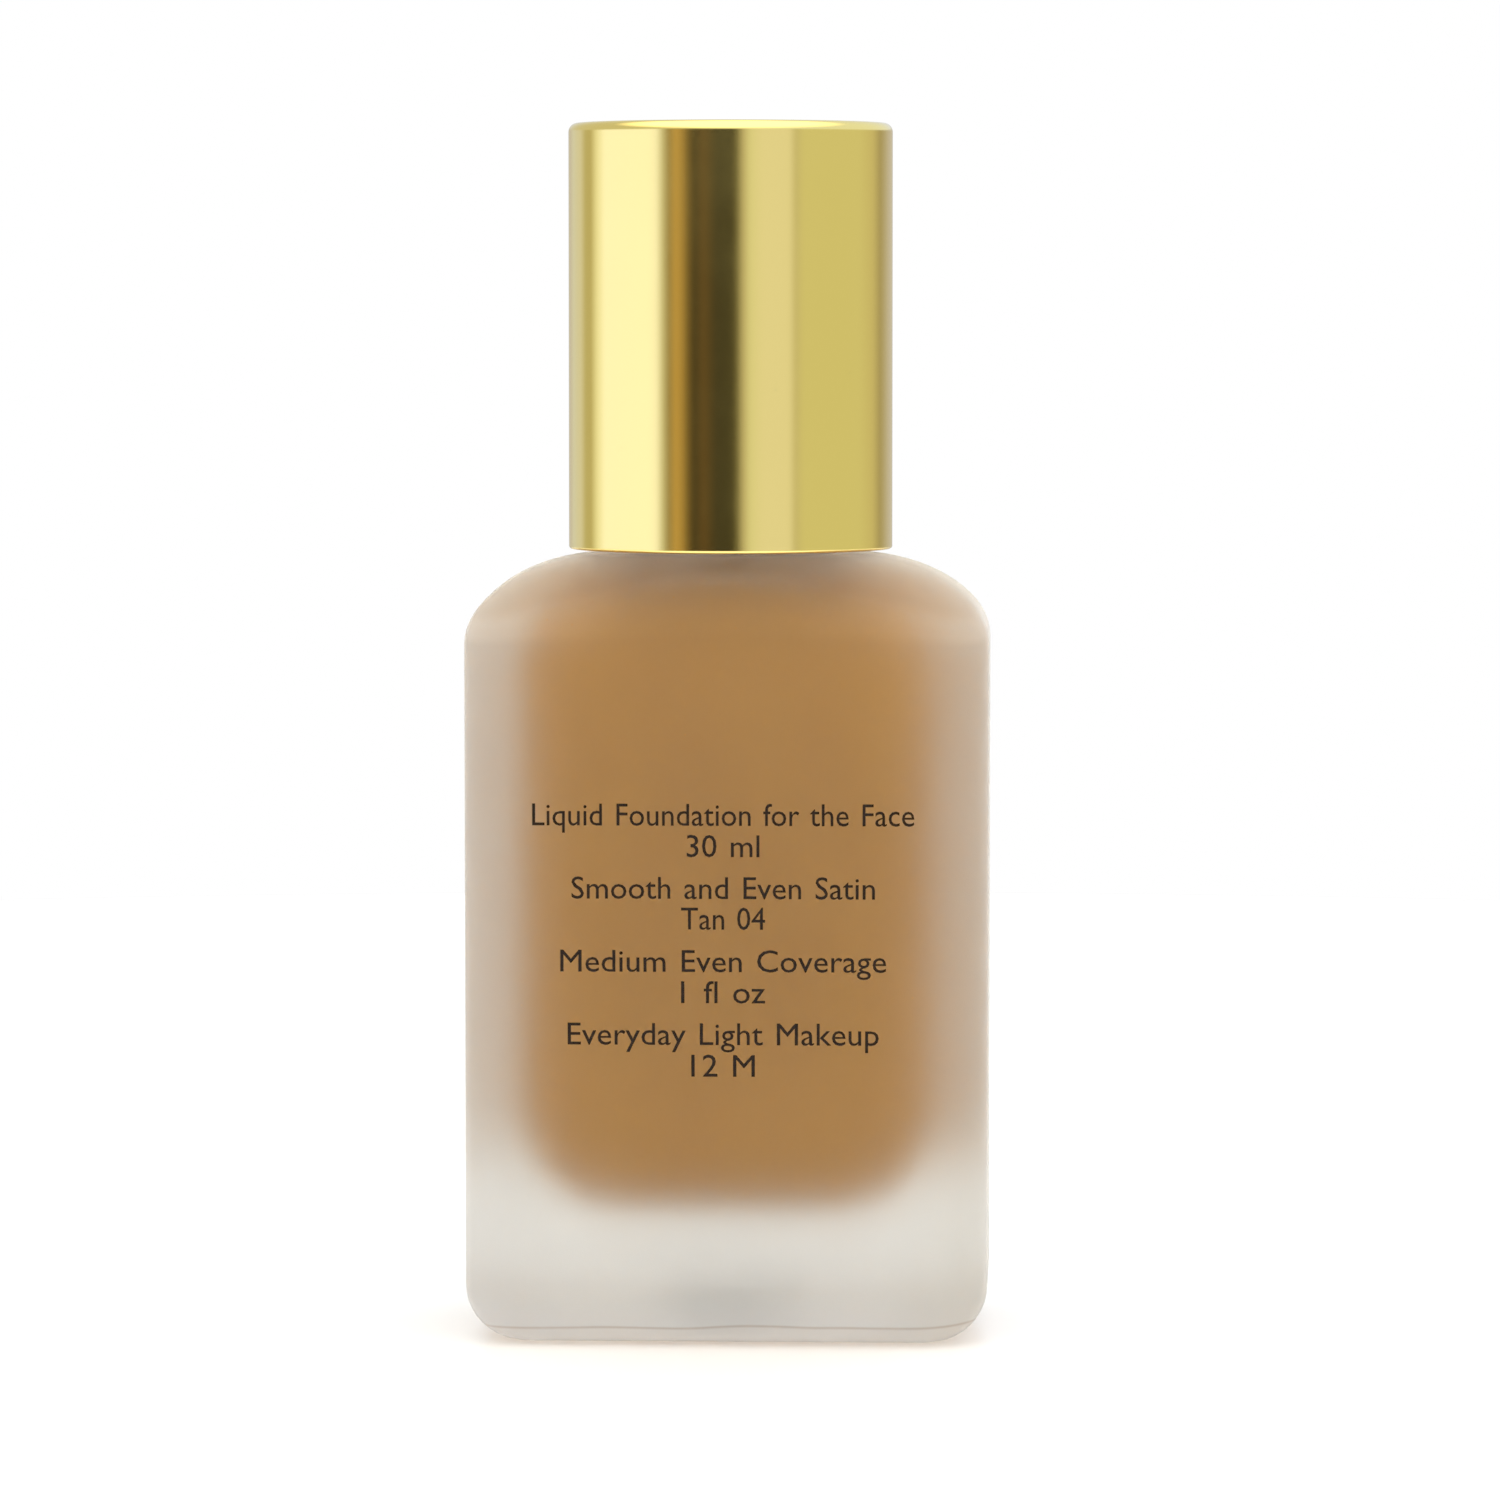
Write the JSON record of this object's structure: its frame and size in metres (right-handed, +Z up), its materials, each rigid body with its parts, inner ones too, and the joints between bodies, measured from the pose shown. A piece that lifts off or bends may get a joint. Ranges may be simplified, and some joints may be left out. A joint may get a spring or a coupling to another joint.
{
  "type": "foundation bottle",
  "caption": "Frosted thick-glass bottle of liquid foundation with a domed shoulder and a threaded neck, closed by a tall gold metal screw cap.",
  "frame": {"origin": "on the surface the bottle stands on, under the middle of the bottle and on the cap's axis", "axes": "+Z up along the neck and cap, +X to the right across the printed face, -Y out of the printed face"},
  "size_m": [0.0466, 0.03, 0.1082],
  "materials": {
    "frosted_glass": "acid-frosted outside, satin",
    "foundation": "opaque tan liquid",
    "gold_metal": "polished gold anodised",
    "weight_steel": "zinc plated, turned",
    "white_polymer": "moulded polypropylene",
    "liner_foam": "foamed polyethylene sheet",
    "label_film": "satin film"
  },
  "bodies": {
    "bottle": {"glass_bottle": "frosted_glass", "foundation_fluid": "foundation", "base_label": "label_film"},
    "liner": {"cap_liner": "liner_foam"},
    "cap": {"cap_shell": "gold_metal", "cap_weight": "weight_steel", "inner_cap": "white_polymer"}
  },
  "joints": [
    {"name": "cap_lift", "type": "slide", "parent": "bottle", "child": "liner", "axis": [0, 0, 1], "range_m": [0, 0.01588]},
    {"name": "cap_turn", "type": "hinge", "parent": "liner", "child": "cap", "pos_m": [0, 0, 0.07], "axis": [0, 0, 1], "range_deg": [0, 1800]}
  ],
  "couplings": [
    {"joint": "cap_lift", "follows": "cap_turn", "m_per_rad": 0.00050532}
  ]
}
